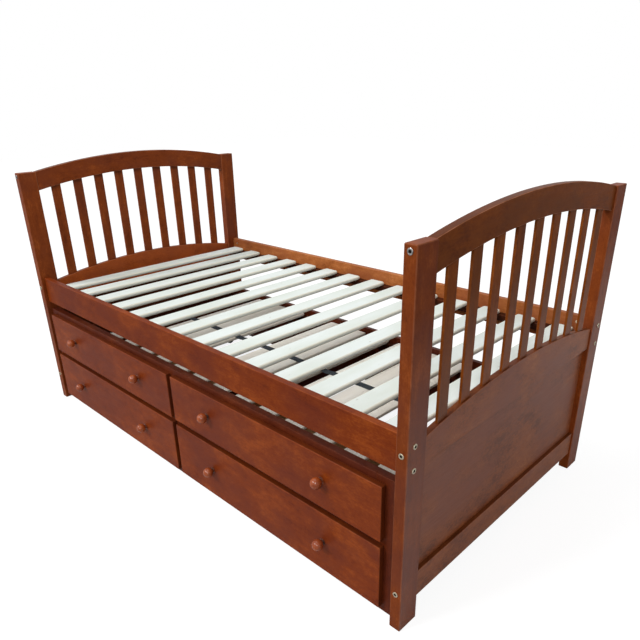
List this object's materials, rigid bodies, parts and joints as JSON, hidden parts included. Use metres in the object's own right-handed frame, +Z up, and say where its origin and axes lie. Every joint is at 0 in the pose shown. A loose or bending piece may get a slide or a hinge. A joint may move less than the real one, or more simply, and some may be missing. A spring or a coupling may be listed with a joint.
{
  "type": "captain's bed",
  "caption": "Single bed with arched slatted end boards and a slat deck, over a rolling trundle with its own slat deck and drawers.",
  "frame": {"origin": "on the floor, under the middle of the object's box", "axes": "+X along the bed to the footboard, -Y to the side with the drawers, +Z up"},
  "size_m": [2.004, 1.1234, 1.06],
  "materials": {
    "end_board_wood": "dark reddish brown stain, satin lacquer",
    "rail_wood": "reddish brown stain, satin lacquer",
    "painted_slat": "off-white, thinly painted",
    "plain_slat": "cream, thinly painted",
    "tray_wood": "plain light wood",
    "bracket_metal": "dark grey, semi-gloss",
    "roller_plastic": "black, matte"
  },
  "bodies": {
    "bed_frame": {"head_post_front": "end_board_wood", "head_post_back": "end_board_wood", "head_top_rail": "end_board_wood", "head_spindle_rail": "end_board_wood", "head_bottom_rail": "end_board_wood", "head_panel": "end_board_wood", "foot_post_front": "end_board_wood", "foot_post_back": "end_board_wood", "foot_top_rail": "end_board_wood", "foot_spindle_rail": "end_board_wood", "foot_bottom_rail": "end_board_wood", "foot_panel": "end_board_wood", "side_rail_front": "rail_wood", "side_rail_back": "rail_wood", "slat_ledger_front": "rail_wood", "slat_ledger_back": "rail_wood", "main_slat_01": "painted_slat", "main_slat_02": "painted_slat", "main_slat_03": "painted_slat", "main_slat_04": "painted_slat", "main_slat_05": "painted_slat", "main_slat_06": "painted_slat", "main_slat_07": "painted_slat", "main_slat_08": "painted_slat", "main_slat_09": "painted_slat", "main_slat_10": "painted_slat", "main_slat_11": "painted_slat", "main_slat_12": "painted_slat", "main_slat_13": "painted_slat", "main_slat_14": "painted_slat"},
    "trundle": {"trundle_stile_left": "rail_wood", "trundle_stile_right": "rail_wood", "trundle_stile_centre": "rail_wood", "trundle_top_rail": "rail_wood", "trundle_bottom_rail": "rail_wood", "trundle_mid_rail_left": "rail_wood", "trundle_mid_rail_right": "rail_wood", "false_front_left": "rail_wood", "false_front_right": "rail_wood", "trundle_end_panel_left": "rail_wood", "trundle_end_panel_right": "rail_wood", "trundle_back_board": "rail_wood", "trundle_divider": "rail_wood", "trundle_cleat_front": "rail_wood", "trundle_cleat_back": "rail_wood", "trundle_slats": "plain_slat", "roller_bracket_front_left": "bracket_metal", "roller_bracket_front_right": "bracket_metal", "roller_bracket_rear_left": "bracket_metal", "roller_bracket_rear_right": "bracket_metal"},
    "drawer_left": {"drawer_front_left": "rail_wood", "drawer_tray_left": "tray_wood"},
    "drawer_right": {"drawer_front_right": "rail_wood", "drawer_tray_right": "tray_wood"},
    "wheel_front_left": {"roller_front_left": "roller_plastic"},
    "wheel_front_right": {"roller_front_right": "roller_plastic"},
    "wheel_rear_left": {"roller_rear_left": "roller_plastic"},
    "wheel_rear_right": {"roller_rear_right": "roller_plastic"}
  },
  "joints": [
    {"name": "trundle_slide", "type": "slide", "parent": "bed_frame", "child": "trundle", "axis": [0, -1, 0], "range_m": [0, 0.95]},
    {"name": "drawer_left_slide", "type": "slide", "parent": "trundle", "child": "drawer_left", "axis": [0, -1, 0], "range_m": [0, 0.32]},
    {"name": "drawer_right_slide", "type": "slide", "parent": "trundle", "child": "drawer_right", "axis": [0, -1, 0], "range_m": [0, 0.32]},
    {"name": "wheel_front_left_turn", "type": "hinge", "parent": "trundle", "child": "wheel_front_left", "pos_m": [-0.933, -0.43225, 0.0255], "axis": [1, 0, 0], "range_deg": [0, 2177.24]},
    {"name": "wheel_front_right_turn", "type": "hinge", "parent": "trundle", "child": "wheel_front_right", "pos_m": [0.933, -0.43225, 0.0255], "axis": [1, 0, 0], "range_deg": [0, 2177.24]},
    {"name": "wheel_rear_left_turn", "type": "hinge", "parent": "trundle", "child": "wheel_rear_left", "pos_m": [-0.933, 0.41775, 0.0255], "axis": [1, 0, 0], "range_deg": [0, 2177.24]},
    {"name": "wheel_rear_right_turn", "type": "hinge", "parent": "trundle", "child": "wheel_rear_right", "pos_m": [0.933, 0.41775, 0.0255], "axis": [1, 0, 0], "range_deg": [0, 2177.24]}
  ],
  "couplings": [
    {"joint": "wheel_front_left_turn", "follows": "trundle_slide", "rad_per_m": 40},
    {"joint": "wheel_front_right_turn", "follows": "trundle_slide", "rad_per_m": 40},
    {"joint": "wheel_rear_left_turn", "follows": "trundle_slide", "rad_per_m": 40},
    {"joint": "wheel_rear_right_turn", "follows": "trundle_slide", "rad_per_m": 40}
  ]
}
